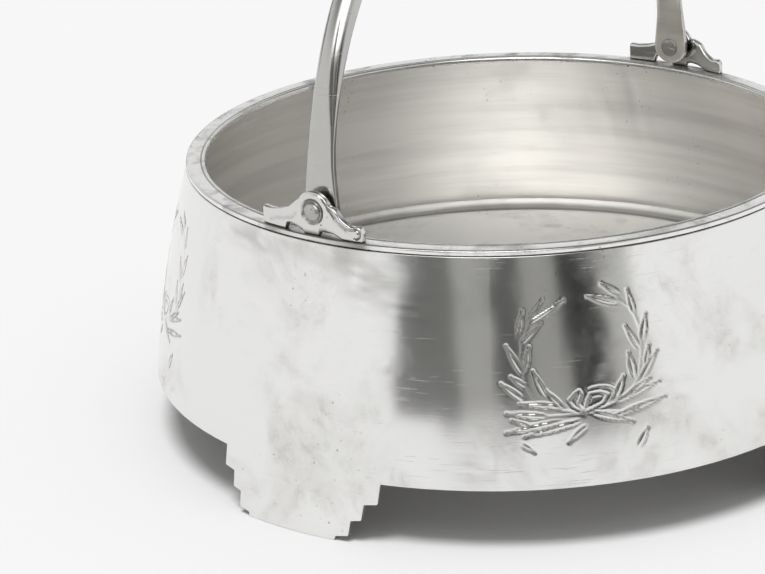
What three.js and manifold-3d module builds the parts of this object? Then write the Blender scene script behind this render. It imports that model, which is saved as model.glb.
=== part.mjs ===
// Silver sugar bowl: a round, slightly spreading wall cut from one sheet with four stepped feet,
// a flat rim ring, a soldered floor, and a bail handle that swings on two riveted lugs.
// Millimetres, +Z up. The origin is on the bowl's axis, on the surface that the feet stand on.
// The bail swings about a line along Y, a little to the +X side of the bowl's axis, so the lugs
// stand at -Y and +Y.
import * as THREE from "three";
import { mergeVertices } from "three/addons/utils/BufferGeometryUtils.js";
import Module from "manifold-3d";

const wasm = await Module();
wasm.setup();

// ---- Driving dimensions ----
const RIM_RADIUS = 58; // outside of the rim ring
const RIM_TOP = 50; // height of the rim above the table
const RIM_WIDTH = 3.6; // flat ring, outside to inside
const RIM_THICKNESS = 1.1;
const RIM_EDGE = 0.3; // small chamfers on the ring's outer and inner edges

const SHEET = 1.0; // thickness of the wall and feet
const WALL_SET_BACK = 0.3; // the wall starts this far inside the ring's edge
const WALL_DROP = 39.6; // rim top down to the wall's lower edge
const WALL_SLOPE = 0.294; // outward slope of the wall just under the ring
const WALL_EASE = 0.00218; // how quickly that slope lessens on the way down
const WALL_STATIONS = 9; // profile points on each face of the wall
const FOOT_SPLAY = 0.24; // outward slope of the feet
const BODY_TURN = 1.2; // degrees that the feet stand round from the lugs
const FOOT_COUNT = 4;
// Half widths of a foot's steps, from the wall down, and the height of each step's ledge.
const FOOT_STEPS = [
  { half: 16.6, ledge: 7.0 },
  { half: 14.0, ledge: 4.0 },
  { half: 11.9, ledge: 1.1 },
  { half: 9.4, ledge: 0 },
];
const LEDGE_DROP = 0.35; // each ledge slopes down towards the foot's middle
const RISER_LEAN = 0.2; // each riser leans in this far

const FLOOR_DEPTH = 34.6; // rim top down to the floor
const FLOOR_THICKNESS = 1.0;
const SOLDER_GAP = 0.3; // left between pieces that solder joins

const PIVOT_OFFSET = 1.5; // the bail's pivots stand this far to the +X side of the bowl's axis
const PIVOT_RISE = 4.2; // pivot above the rim
const LUG_DRIFT = 0.6; // the near lug's ends lie this far to -X of its hole, the far lug's to +X
const LUG_INNER = 56.4; // the lug is a plate bent to the rim's curve, between these radii
const LUG_OUTER = 57.7;
const BOSS_RADIUS = 3.5;
const BOSS_STEP = 0.4; // the boss's flat face is this much smaller all round
const BOSS_FACE = 57.7; // distance of that face from the bowl's axis
const BORE_RADIUS = 1.35;

const RIVET_RADIUS = 1.2;
const RIVET_HEAD_RADIUS = 1.75;
const RIVET_HEAD_RISE = 0.55;
const PEEN_RADIUS = 1.7; // hammered inner end
const PEEN_RISE = 0.35;
const RIVET_PLAY = 0.06; // gap under each head

const BAIL_INNER = 54.1; // inner face of the bail's arms from the bowl's axis
const BAIL_SPRING = 6; // height above the rim where the arms start to curve
const BAIL_ARCH = 56.3; // rise of the arch's inner face above that
const BAIL_THIN = 1.4; // thickness of the strap at its ends
const BAIL_THICK = 2.8; // thickness of the strap over the arch
const THICKENING = [13, 38]; // heights above the rim between which it thickens
const ARCH_STEPS = 72;
const TONGUE_HALF = 3.5; // half width of the bail's lower ends
const TONGUE_DROP = 3.1; // their rounded edge below the pivot
const WAIST_HALF = 2.55; // half width of the strap where it is narrowest
const WAIST_RISE = 24; // height of that place above the rim
const CROWN_HALF = 2.8; // half width at the top of the arch

const ROUND = 96; // segments of the large turned pieces
const SMALL_ROUND = 24; // segments of the rivets, bosses and bores

// ---- Derived ----
const WALL_EDGE = RIM_TOP - WALL_DROP;
const WALL_TOP = RIM_TOP - RIM_THICKNESS;
const PIVOT_HEIGHT = RIM_TOP + PIVOT_RISE;
const RIM_INNER = RIM_RADIUS - RIM_WIDTH;

// ---- Materials ----
const bright = (color, roughness) =>
  new THREE.MeshStandardMaterial({ color, roughness, metalness: 1 });
const wallSilver = bright(0xdbdad6, 0.28);
const rimSilver = bright(0xc9c7c2, 0.3);
const floorSilver = bright(0xb5b1a8, 0.4);
const castSilver = bright(0xd6d5d1, 0.32);
const rivetSilver = bright(0xa9a7a3, 0.35);

// ---- Solids ----
function toSolid(geometry) {
  const bare = geometry.clone();
  bare.deleteAttribute("normal");
  bare.deleteAttribute("uv");
  const merged = mergeVertices(bare, 1e-4);
  return new wasm.Manifold(
    new wasm.Mesh({
      numProp: 3,
      vertProperties: merged.attributes.position.array,
      triVerts: new Uint32Array(merged.index.array),
    }),
  );
}

function toGeometry(solid) {
  const mesh = solid.getMesh();
  return new THREE.BufferGeometry()
    .setAttribute("position", new THREE.BufferAttribute(mesh.vertProperties, 3))
    .setIndex(new THREE.BufferAttribute(mesh.triVerts, 1));
}

// A closed profile of [radius, height] points turned round the bowl's axis.
function turned(profile) {
  const points = [...profile, profile[0]].map(([r, z]) => new THREE.Vector2(r, z));
  return new THREE.LatheGeometry(points, ROUND).rotateX(Math.PI / 2);
}

// A shape drawn in X and Z, pushed out along Y from one distance to another.
function standing(shape, fromY, toY, curveSegments) {
  const depth = toY - fromY;
  return new THREE.ExtrudeGeometry(shape, { depth, bevelEnabled: false, curveSegments })
    .rotateX(Math.PI / 2)
    .translate(0, toY, 0);
}

// A shape drawn in Y and Z, pushed out evenly to both sides along X.
function crosswise(shape, width, curveSegments) {
  const turn = new THREE.Matrix4().makeBasis(
    new THREE.Vector3(0, 1, 0),
    new THREE.Vector3(0, 0, 1),
    new THREE.Vector3(1, 0, 0),
  );
  return new THREE.ExtrudeGeometry(shape, { depth: width, bevelEnabled: false, curveSegments })
    .translate(0, 0, -width / 2)
    .applyMatrix4(turn);
}

// A round bar along Y at pivot height, from one distance to another.
function pivotBar(radius, fromY, toY) {
  return new THREE.CylinderGeometry(radius, radius, toY - fromY, SMALL_ROUND).translate(
    PIVOT_OFFSET,
    (fromY + toY) / 2,
    PIVOT_HEIGHT,
  );
}

// ---- Wall with feet ----
// Outer radius of the sheet at a height: a slope that eases downwards, then the splay of the feet.
function wallRadius(height) {
  const drop = RIM_TOP - Math.max(height, WALL_EDGE);
  const wall = RIM_RADIUS - WALL_SET_BACK + WALL_SLOPE * drop - WALL_EASE * drop * drop;
  return wall + FOOT_SPLAY * Math.max(0, WALL_EDGE - height);
}

function wallShell() {
  const heights = [0];
  for (let i = 0; i < WALL_STATIONS; i++)
    heights.push(WALL_EDGE + ((WALL_TOP - WALL_EDGE) * i) / (WALL_STATIONS - 1));
  const outer = heights.map((z) => [wallRadius(z), z]);
  const inner = heights.map((z) => [wallRadius(z) - SHEET, z]).reverse();
  return turned([...outer, ...inner]);
}

function footOutline() {
  const right = [[FOOT_STEPS[0].half, WALL_EDGE + 1]];
  FOOT_STEPS.forEach(({ half, ledge }, i) => {
    const next = FOOT_STEPS[i + 1];
    right.push([half - RISER_LEAN, ledge]);
    if (next) right.push([next.half, ledge - LEDGE_DROP]);
  });
  const left = right.map(([x, z]) => [-x, z]).reverse();
  return new THREE.Shape([...right, ...left].map(([x, z]) => new THREE.Vector2(x, z)));
}

function wallWithFeet() {
  const reach = RIM_RADIUS * 1.5;
  const upper = new THREE.CylinderGeometry(reach, reach, WALL_DROP, ROUND)
    .rotateX(Math.PI / 2)
    .translate(0, 0, RIM_TOP - WALL_DROP / 2);
  let kept = toSolid(upper);
  for (let i = 0; i < FOOT_COUNT; i++) {
    const turn = THREE.MathUtils.degToRad(BODY_TURN) + (2 * Math.PI * i) / FOOT_COUNT;
    const foot = standing(footOutline(), -reach, -RIM_INNER).rotateZ(turn);
    kept = kept.add(toSolid(foot));
  }
  return toGeometry(toSolid(wallShell()).intersect(kept));
}

// ---- Floor and rim ----
function floorDisc() {
  const top = RIM_TOP - FLOOR_DEPTH;
  const edge = (height) => wallRadius(height) - SHEET - SOLDER_GAP;
  const base = top - FLOOR_THICKNESS;
  const points = [
    [0, base],
    [edge(base), base],
    [edge(top), top],
    [0, top],
  ].map(([r, z]) => new THREE.Vector2(r, z));
  return new THREE.LatheGeometry(points, ROUND).rotateX(Math.PI / 2);
}

function rimRing() {
  return turned([
    [RIM_INNER, WALL_TOP],
    [RIM_RADIUS - RIM_EDGE, WALL_TOP],
    [RIM_RADIUS, WALL_TOP + RIM_EDGE],
    [RIM_RADIUS, RIM_TOP - RIM_EDGE],
    [RIM_RADIUS - RIM_EDGE, RIM_TOP],
    [RIM_INNER + RIM_EDGE, RIM_TOP],
    [RIM_INNER, RIM_TOP - RIM_EDGE],
  ]);
}

// ---- Lugs ----
// Seen from outside: a square block at the left end, a hump over the boss, a shoulder and a sweep
// down to a curled end at the right, and two low gaps under the bridge.
function lugOutline(drift) {
  const end = (across, up) => [PIVOT_OFFSET + drift + across, RIM_TOP + up];
  const curl = { across: 8.9, radius: 1.35 };
  const hump = 0.16 * Math.PI;
  const shape = new THREE.Shape();
  shape.moveTo(...end(-11.0, 0));
  shape.lineTo(...end(-5.5, 0));
  shape.quadraticCurveTo(...end(-4.1, 2.1), ...end(-1.7, 0.5));
  shape.lineTo(...end(-1.4, 0));
  shape.lineTo(...end(1.6, 0));
  shape.lineTo(...end(1.9, 0.6));
  shape.quadraticCurveTo(...end(4.2, 1.8), ...end(6.2, 0));
  shape.lineTo(...end(curl.across, 0));
  shape.absarc(...end(curl.across, curl.radius), curl.radius, -Math.PI / 2, Math.PI / 2, false);
  shape.quadraticCurveTo(...end(7.9, 2.4), ...end(7.0, 3.1));
  shape.quadraticCurveTo(...end(6.1, 3.7), ...end(5.4, 5.0));
  shape.quadraticCurveTo(...end(4.7, 5.3), ...end(4.0, 5.6));
  shape.absarc(PIVOT_OFFSET, PIVOT_HEIGHT, BOSS_RADIUS, hump, Math.PI - hump, false);
  shape.quadraticCurveTo(...end(-4.4, 3.9), ...end(-6.0, 3.7));
  shape.quadraticCurveTo(...end(-8.3, 3.2), ...end(-10.6, 3.2));
  return shape;
}

function lug(drift) {
  const top = PIVOT_HEIGHT + BOSS_RADIUS + 1;
  const band = turned([
    [LUG_INNER, RIM_TOP],
    [LUG_OUTER, RIM_TOP],
    [LUG_OUTER, top],
    [LUG_INNER, top],
  ]);
  const plate = toSolid(standing(lugOutline(drift), -RIM_RADIUS - 2, -LUG_INNER + 3, 6));
  const boss = toSolid(pivotBar(BOSS_RADIUS - BOSS_STEP, -BOSS_FACE, -LUG_INNER - 0.8));
  const bore = toSolid(pivotBar(BORE_RADIUS, -RIM_RADIUS, -LUG_INNER + 1));
  return toGeometry(plate.intersect(toSolid(band)).add(boss).subtract(bore));
}

// ---- Rivet ----
// A domed head outside the boss, a shank through lug and bail, and a low hammered end inside.
function rivet() {
  const head = -BOSS_FACE - RIVET_PLAY;
  const peen = -BAIL_INNER + RIVET_PLAY;
  const points = [
    [0, head - RIVET_HEAD_RISE],
    [RIVET_HEAD_RADIUS * 0.7, head - RIVET_HEAD_RISE * 0.85],
    [RIVET_HEAD_RADIUS, head - RIVET_HEAD_RISE * 0.3],
    [RIVET_HEAD_RADIUS, head],
    [RIVET_RADIUS, head],
    [RIVET_RADIUS, peen],
    [PEEN_RADIUS, peen],
    [PEEN_RADIUS * 0.6, peen + PEEN_RISE],
    [0, peen + PEEN_RISE],
  ].map(([r, y]) => new THREE.Vector2(r, y));
  return new THREE.LatheGeometry(points, SMALL_ROUND).translate(PIVOT_OFFSET, 0, PIVOT_HEIGHT);
}

// The same piece mirrored to the other end of the bail's pivot line.
function across(geometry) {
  return toGeometry(toSolid(geometry).mirror([0, 1, 0]));
}

// ---- Bail ----
function strapThickness(height) {
  const [low, high] = THICKENING;
  const share = THREE.MathUtils.smoothstep(height - RIM_TOP, low, high);
  return BAIL_THIN + (BAIL_THICK - BAIL_THIN) * share;
}

// Side view: two upright arms joined by half an ellipse, which thickens outwards from the arms up.
function archBand() {
  const spring = RIM_TOP + BAIL_SPRING;
  const foot = RIM_TOP - BAIL_SPRING;
  const inner = [[BAIL_INNER, foot]];
  const outer = [[BAIL_INNER + BAIL_THIN, foot]];
  for (let i = 0; i <= ARCH_STEPS; i++) {
    const angle = (Math.PI * i) / ARCH_STEPS;
    const y = BAIL_INNER * Math.cos(angle);
    const z = spring + BAIL_ARCH * Math.sin(angle);
    const out = new THREE.Vector2(BAIL_ARCH * Math.cos(angle), BAIL_INNER * Math.sin(angle));
    out.setLength(strapThickness(z));
    inner.push([y, z]);
    outer.push([y + out.x, z + out.y]);
  }
  inner.push([-BAIL_INNER, foot]);
  outer.push([-BAIL_INNER - BAIL_THIN, foot]);
  return new THREE.Shape([...outer, ...inner.reverse()].map(([y, z]) => new THREE.Vector2(y, z)));
}

// Front view: a rounded tongue at the pivot, a waist, and a little more width at the crown.
function strapOutline() {
  const crown = RIM_TOP + BAIL_SPRING + BAIL_ARCH + BAIL_THICK + 1;
  const waist = RIM_TOP + WAIST_RISE;
  const side = (sign) => [
    [PIVOT_OFFSET + sign * TONGUE_HALF, PIVOT_HEIGHT + 2.5],
    [PIVOT_OFFSET + sign * (WAIST_HALF - 0.1), waist - 17],
    [PIVOT_OFFSET + sign * WAIST_HALF, waist],
    [PIVOT_OFFSET + sign * WAIST_HALF, waist + 14],
    [PIVOT_OFFSET + sign * CROWN_HALF, crown - 22],
    [PIVOT_OFFSET + sign * CROWN_HALF, crown],
  ];
  const right = side(1);
  const left = side(-1);
  const shape = new THREE.Shape();
  shape.moveTo(PIVOT_OFFSET + TONGUE_HALF, PIVOT_HEIGHT);
  shape.bezierCurveTo(...right[0], ...right[1], ...right[2]);
  shape.bezierCurveTo(...right[3], ...right[4], ...right[5]);
  shape.lineTo(...left[5]);
  shape.bezierCurveTo(...left[4], ...left[3], ...left[2]);
  shape.bezierCurveTo(...left[1], ...left[0], PIVOT_OFFSET - TONGUE_HALF, PIVOT_HEIGHT);
  shape.absellipse(PIVOT_OFFSET, PIVOT_HEIGHT, TONGUE_HALF, TONGUE_DROP, Math.PI, 2 * Math.PI);
  return shape;
}

function bail() {
  const arch = toSolid(crosswise(archBand(), 4 * TONGUE_HALF + 2 * PIVOT_OFFSET, 1));
  const strap = toSolid(standing(strapOutline(), -RIM_RADIUS, RIM_RADIUS, 10));
  const bores = toSolid(pivotBar(BORE_RADIUS, -RIM_RADIUS, RIM_RADIUS));
  return toGeometry(arch.intersect(strap).subtract(bores));
}

// ---- Assembly ----
const bowl = new THREE.Group();

function place(name, geometry, material) {
  const mesh = new THREE.Mesh(geometry, material);
  mesh.name = name;
  bowl.add(mesh);
}

place("body_wall", wallWithFeet(), wallSilver);
place("floor_disc", floorDisc(), floorSilver);
place("rim_ring", rimRing(), rimSilver);
place("lug_near", lug(-LUG_DRIFT), castSilver);
place("lug_far", across(lug(LUG_DRIFT)), castSilver);
place("rivet_near", rivet(), rivetSilver);
place("rivet_far", across(rivet()), rivetSilver);
place("bail_handle", bail(), castSilver);

export default bowl;
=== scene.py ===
import math

import bpy
import numpy as np
from mathutils import Matrix, Vector


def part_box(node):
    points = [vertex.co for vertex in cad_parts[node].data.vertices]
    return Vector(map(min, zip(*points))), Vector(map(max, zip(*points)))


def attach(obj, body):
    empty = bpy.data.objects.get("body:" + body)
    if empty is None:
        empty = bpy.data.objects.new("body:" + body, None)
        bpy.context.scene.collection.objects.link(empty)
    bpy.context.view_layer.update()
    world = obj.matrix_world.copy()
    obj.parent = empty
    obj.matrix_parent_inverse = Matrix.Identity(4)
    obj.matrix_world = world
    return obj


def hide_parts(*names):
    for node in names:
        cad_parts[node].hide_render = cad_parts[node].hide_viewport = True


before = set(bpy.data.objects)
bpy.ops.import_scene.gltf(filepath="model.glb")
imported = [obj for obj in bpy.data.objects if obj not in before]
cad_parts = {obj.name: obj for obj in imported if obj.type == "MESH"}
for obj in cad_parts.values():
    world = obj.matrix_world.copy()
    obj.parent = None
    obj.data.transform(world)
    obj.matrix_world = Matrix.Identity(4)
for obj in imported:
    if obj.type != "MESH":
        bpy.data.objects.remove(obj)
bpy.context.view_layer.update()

bl_info = {
    "name": "Silver Sugar Bowl",
    "version": (1, 0, 0),
    "blender": (4, 5, 0),
    "location": "3D Viewport > Sidebar > Sugar Bowl",
    "description": "Builds an engraved silver sugar bowl with a swinging bail around its solid model",
    "category": "Mesh",
}

# ---------------------------------------------------------------------------------------------
# Sizes. Everything below is worked out in millimetres and scaled to metres as a mesh is made.
# ---------------------------------------------------------------------------------------------
MM = 0.001


def box_mm(node):
    """The lowest and highest corner of a solid, in millimetres."""
    low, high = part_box(node)
    return np.array(low) / MM, np.array(high) / MM


RIM_LOW, RIM_HIGH = box_mm("rim_ring")
FLOOR_LOW, FLOOR_HIGH = box_mm("floor_disc")
BAIL_LOW, BAIL_HIGH = box_mm("bail_handle")

RIM_RADIUS = RIM_HIGH[0]
RIM_TOP = RIM_HIGH[2]
RIM_UNDER = RIM_LOW[2]
FLOOR_TOP = FLOOR_HIGH[2]
TONGUE_DROP = 3.1  # how far the strap's rounded end reaches below the pivot
PIVOT = np.array([(BAIL_LOW[0] + BAIL_HIGH[0]) / 2, 0.0, BAIL_LOW[2] + TONGUE_DROP])

WALL_SET_BACK = 0.3  # the wall's top lies this far inside the rim's edge
WALL_EDGE = RIM_TOP - 39.6  # where the wall ends and the feet begin
WALL_SLOPE, WALL_EASE = 0.294, 0.00218
FOOT_SPLAY = 0.24
SHEET = 1.0
SKIN_GAP = 0.02  # keeps a detailed skin just inside the solid one
BODY_TURN = 1.2  # degrees that the feet and wreaths are turned from the lugs
FOOT_OUTLINE = [  # half width of a foot at each height, from the table up
    (0.0, 9.2), (0.75, 9.4), (1.1, 11.7), (3.65, 11.9), (4.0, 13.8), (6.65, 14.0), (7.0, 16.4),
    (10.4, 16.55),
]
# The wreath's patch of close mesh, in millimetres: its half width, the radius at which its widths
# are true, and drops below the rim of its top, its bottom and its knot.
WREATH_HALF, WREATH_RADIUS = 15.3, 64
WREATH_TOP, WREATH_LOW, KNOT_DROP = 5.2, 35.2, 27
# Smoky tarnish on the wall: azimuth in degrees, drop below the rim, and how far it spreads each way.
SMOKE = [(-78, 5, 6, 4), (-71, 10, 3, 3), (-84, 2, 4, 2), (-60, 36, 3, 3), (-100, 3, 9, 2),
         (12, 6, 6, 4), (104, 9, 7, 6), (190, 4, 7, 4), (-160, 20, 4, 9)]


class BowlSizes(bpy.types.PropertyGroup):
    """Sizes of the details that the solid model leaves plain."""

    engraving_depth: bpy.props.FloatProperty(
        name="Engraving depth", description="How deep the wreaths' lines are cut",
        default=0.00011, unit="LENGTH", precision=5)
    engraving_pitch: bpy.props.FloatProperty(
        name="Engraving pitch", description="Spacing of the mesh across the wreaths",
        default=0.000235, unit="LENGTH", precision=6)
    dent_depth: bpy.props.FloatProperty(
        name="Dents", description="How far the sheet wanders from true, from hand work and wear",
        default=0.00005, unit="LENGTH", precision=5)
    edge_round: bpy.props.FloatProperty(
        name="Edge rounding", description="Rounding of the sheet's cut edges",
        default=0.00012, unit="LENGTH", precision=5)
    turns: bpy.props.IntProperty(
        name="Round segments", description="Segments round the turned pieces",
        default=288, min=48)


class BowlFinish(bpy.types.PropertyGroup):
    """Colours and polish of the silver."""

    silver: bpy.props.FloatVectorProperty(
        name="Silver", description="Clean polished silver", subtype="COLOR",
        size=3, default=(0.84, 0.835, 0.82), min=0, max=1)
    patina: bpy.props.FloatVectorProperty(
        name="Patina", description="Thin cloudy tarnish", subtype="COLOR",
        size=3, default=(0.60, 0.59, 0.57), min=0, max=1)
    # Also the colour of the painted shade under and round the lugs and rivets, and of the painted dark
    # reflection on the rim's inner lip.
    dirt_and_shade: bpy.props.FloatVectorProperty(
        name="Dark tarnish", description="Black sulphide left in grooves and pits", subtype="COLOR",
        size=3, default=(0.16, 0.15, 0.135), min=0, max=1)
    warm: bpy.props.FloatVectorProperty(
        name="Inside tarnish", description="Warm brownish tarnish inside the bowl", subtype="COLOR",
        size=3, default=(0.84, 0.82, 0.785), min=0, max=1)
    polish: bpy.props.FloatProperty(
        name="Roughness", description="Roughness of the polished outside", subtype="FACTOR",
        default=0.13, min=0, max=1)


class BowlStage(bpy.types.PropertyGroup):
    """The table, the light and the viewpoint."""

    table_colour: bpy.props.FloatVectorProperty(
        name="Table", description="Colour of the plain table", subtype="COLOR",
        size=3, default=(0.50, 0.50, 0.50), min=0, max=1)
    room_light: bpy.props.FloatProperty(
        name="Room light", description="Strength of the soft light that falls on everything",
        default=0.8, min=0)
    overhead_light: bpy.props.FloatProperty(
        name="Overhead light", description="Strength of the broad light straight above",
        default=3.4, min=0)
    backdrop: bpy.props.FloatProperty(
        name="Backdrop", description="Brightness of the empty background", default=0.96, min=0)
    distance: bpy.props.FloatProperty(
        name="Camera distance", description="From the middle of the rim", unit="LENGTH",
        default=0.528)
    elevation: bpy.props.FloatProperty(
        name="Camera elevation", description="Above the rim's plane", subtype="ANGLE",
        default=math.radians(17.94))
    azimuth: bpy.props.FloatProperty(
        name="Camera azimuth", description="Round from the front", subtype="ANGLE",
        default=math.radians(35.6))
    aside: bpy.props.FloatProperty(
        name="Look aside", description="How far the camera turns off the bowl's middle",
        subtype="ANGLE", default=math.radians(2.664))
    look_down: bpy.props.FloatProperty(
        name="Look down", description="How far the camera tips below the rim's middle",
        subtype="ANGLE", default=math.radians(2.788))
    roll: bpy.props.FloatProperty(
        name="Roll", description="Roll about the line of sight", subtype="ANGLE",
        default=math.radians(-2.630))
    lens: bpy.props.FloatProperty(
        name="Lens", description="Focal length in millimetres", default=136.1)


# ---------------------------------------------------------------------------------------------
# Meshes
# ---------------------------------------------------------------------------------------------
def quads(index):
    """Faces of a grid of vertex numbers whose rows run down and whose columns run to the right,
    as seen from the side that the faces point to."""
    return np.stack([index[:-1, :-1], index[1:, :-1], index[1:, 1:], index[:-1, 1:]], -1).reshape(-1, 4)


def closed(index):
    """The same grid with its first column repeated at the end, so that the faces go all round."""
    return np.concatenate([index, index[:, :1]], 1)


def numbered(shape, start=0):
    """A grid of vertex numbers, row by row."""
    return start + np.arange(shape[0] * shape[1]).reshape(shape)


def make_mesh(name, points, faces, caps=()):
    """A mesh object at the origin from an array of points in millimetres and arrays of faces.
    Each cap is one more face, a loop of vertex numbers."""
    mesh = bpy.data.meshes.new(name)
    listed = sum((block.tolist() for block in faces), [])
    listed += [np.asarray(cap).tolist() for cap in caps]
    mesh.from_pydata((points * MM).tolist(), [], listed)
    mesh.update()
    mesh.shade_smooth()
    piece = bpy.data.objects.new(name, mesh)
    bpy.context.scene.collection.objects.link(piece)
    return piece


def vertices_mm(piece):
    """The places of a piece's vertices, in millimetres."""
    flat = np.empty(3 * len(piece.data.vertices), np.float32)
    piece.data.vertices.foreach_get("co", flat)
    return flat.reshape(-1, 3) / MM


def set_values(piece, name, values):
    """A value at each vertex, which the materials read."""
    attribute = piece.data.attributes.new(name, "FLOAT", "POINT")
    attribute.data.foreach_set("value", np.asarray(values, np.float32))


def capped_tube(name, points, flipped):
    """Rings of points joined into a tube, with each end closed by one face. A flipped tube is one
    whose rings run the other way round, so its faces are turned to point outwards."""
    index = numbered(points.shape[:2])
    skin = quads(closed(index))
    caps = [index[0], index[-1][::-1]]
    if flipped:
        skin = skin[:, ::-1]
        caps = [cap[::-1] for cap in caps]
    return make_mesh(name, points.reshape(-1, 3), [skin], caps)


def finish_piece(piece, body, nodes, material):
    """Gives a piece its material, its body and the solids that it stands for."""
    piece.data.materials.append(material)
    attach(piece, body)
    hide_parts(*nodes)


def turned_piece(name, profile, segments):
    """A closed profile of radius and height, in order so that the outside is on its right, carried
    round the bowl's axis. Column k is turned by k parts of a full circle."""
    profile = np.asarray(profile, float)
    angle = np.arange(segments) * 2 * np.pi / segments
    radius = profile[:, 0][:, None]
    points = np.stack([
        radius * np.cos(angle), radius * np.sin(angle),
        np.repeat(profile[:, 1][:, None], segments, 1)], -1).reshape(-1, 3)
    index = numbered((len(profile), segments))
    index = closed(np.concatenate([index, index[:1]], 0))
    return make_mesh(name, points, [quads(index)])


def smooth_step(value, low, high):
    """0 below low, 1 above high, and a cubic ease between."""
    share = np.clip((value - low) / (high - low), 0, 1)
    return share * share * (3 - 2 * share)


def wander(seed, coordinates, waves):
    """Smooth hand-made unevenness between about -1 and 1: a sum of sines, each with a random
    direction and phase. coordinates are arrays in millimetres, waves is (count, length)."""
    rng = np.random.default_rng(seed)
    total = np.zeros(np.broadcast(*coordinates).shape)
    count = 0
    for number, length in waves:
        for _ in range(number):
            direction = rng.normal(size=len(coordinates))
            direction /= np.linalg.norm(direction)
            phase = rng.uniform(0, 2 * np.pi)
            along = sum(d * c for d, c in zip(direction, coordinates))
            total = total + np.sin(2 * np.pi * along / (length * rng.uniform(0.75, 1.3)) + phase)
            count += 1
    return total / math.sqrt(count)


# ---------------------------------------------------------------------------------------------
# Engraved wreath
# ---------------------------------------------------------------------------------------------
# Leaves as base x, base z, tip x, tip z and half width, in millimetres from the wreath's knot.
LEAF_SLIMNESS = 0.74
LEAF_REACH = 0.22  # how far a leaf runs on behind its base, as a share of its length
LEFT_LEAVES = [
    (-8.3, 15.3, -2.4, 18.5, 0.62), (-8.6, 15.8, -5.9, 18.9, 0.45), (-10.4, 13.5, -9.5, 17.2, 0.5),
    (-9.8, 12.0, -6.4, 15.1, 0.5), (-10.0, 7.2, -12.6, 11.7, 0.6), (-9.6, 7.4, -8.6, 11.4, 0.55),
    (-9.5, 4.9, -11.9, 6.6, 0.45), (-10.2, 2.9, -13.6, 5.5, 0.6), (-6.2, 3.3, -8.1, 7.4, 0.6),
    (-3.6, 1.2, -6.0, 4.0, 0.5), (-4.0, 1.3, -10.5, 2.1, 0.55), (-6.6, -0.2, -12.7, 0.5, 0.6),
    (-4.7, -1.3, -12.8, -2.7, 0.62), (-1.5, -1.6, -9.8, -3.4, 0.62), (0.1, -2.5, -2.6, -4.8, 0.5),
    (-10.3, -4.7, -8.4, -6.1, 0.4), (-8.8, -1.9, -11.8, -0.6, 0.4),
]
RIGHT_LEAVES = [
    (7.1, 17.2, 2.0, 18.8, 0.66), (7.8, 18.6, 4.7, 20.5, 0.5), (10.1, 15.5, 9.4, 19.0, 0.5),
    (11.2, 10.9, 12.3, 14.7, 0.72), (10.3, 9.6, 8.3, 13.3, 0.55), (11.4, 6.5, 12.3, 9.6, 0.45),
    (10.3, 4.2, 13.7, 8.5, 0.6), (9.1, 5.0, 8.5, 8.9, 0.7), (5.8, 2.2, 7.3, 5.2, 0.6),
    (7.4, 1.7, 11.9, 4.2, 0.6), (6.3, 1.3, 13.6, 3.4, 0.62), (6.8, -0.9, 14.4, 0.7, 0.62),
    (2.0, -0.4, 8.3, -2.5, 0.6), (9.1, -6.8, 10.9, -3.9, 0.72), (5.0, -1.3, 9.4, -0.4, 0.4),
]
# Stems and the bow above the knot, as lines through these points.
STEMS = [
    [(0, 0), (-3.5, 0.5), (-7.5, 2.0), (-9.4, 5.0), (-10.1, 9.0), (-9.8, 12.5), (-8.3, 15.4)],
    [(0, 0), (4.0, 0.6), (8.0, 1.8), (10.0, 4.8), (10.9, 8.5), (11.1, 12.5), (9.9, 16.0), (7.4, 17.9)],
    [(0, -0.2), (-3.2, -0.2), (-6.6, -0.3)],
    [(0.2, -0.2), (3.4, -0.2), (6.8, -0.8)],
]
BOW = [
    [(0, 0), (-1.7, 1.0), (-2.5, 2.2), (-1.4, 3.3), (-0.5, 3.8), (-0.1, 3.0), (-0.9, 1.5), (0, 0)],
    [(1.1, 3.8), (2.9, 4.1), (4.8, 3.8), (5.8, 3.0)],
    [(0.2, 0.2), (0.7, 1.9), (1.3, 3.0), (2.9, 3.1), (4.4, 2.6), (3.4, 1.2), (0.4, 0.1)],
]


def leaf_field(x, z, leaf):
    """How far a point is inside (negative) or outside a leaf's outline, and how far along it is.
    The half width follows a sine arch that is fullest before the middle."""
    bx, bz, tx, tz, half = leaf
    bx, bz = bx - LEAF_REACH * (tx - bx), bz - LEAF_REACH * (tz - bz)
    length = math.hypot(tx - bx, tz - bz)
    ux, uz = (tx - bx) / length, (tz - bz) / length
    along = ((x - bx) * ux + (z - bz) * uz) / length
    across = (x - bx) * -uz + (z - bz) * ux
    inside = np.clip(along, 0, 1)
    width = LEAF_SLIMNESS * half * np.sin(np.pi * inside ** 0.85)
    past = np.maximum(np.maximum(-along, along - 1), 0) * length
    beside = np.abs(across) - width
    return np.hypot(np.maximum(beside, 0), past) + np.minimum(beside, 0), along


def line_distance(x, z, line):
    """Distance from each point to the nearest stretch of a line through the given points."""
    best = np.full(x.shape, 1e9)
    for (ax, az), (bx, bz) in zip(line[:-1], line[1:]):
        dx, dz = bx - ax, bz - az
        share = np.clip(((x - ax) * dx + (z - az) * dz) / (dx * dx + dz * dz), 0, 1)
        best = np.minimum(best, np.hypot(x - ax - share * dx, z - az - share * dz))
    return best


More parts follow.
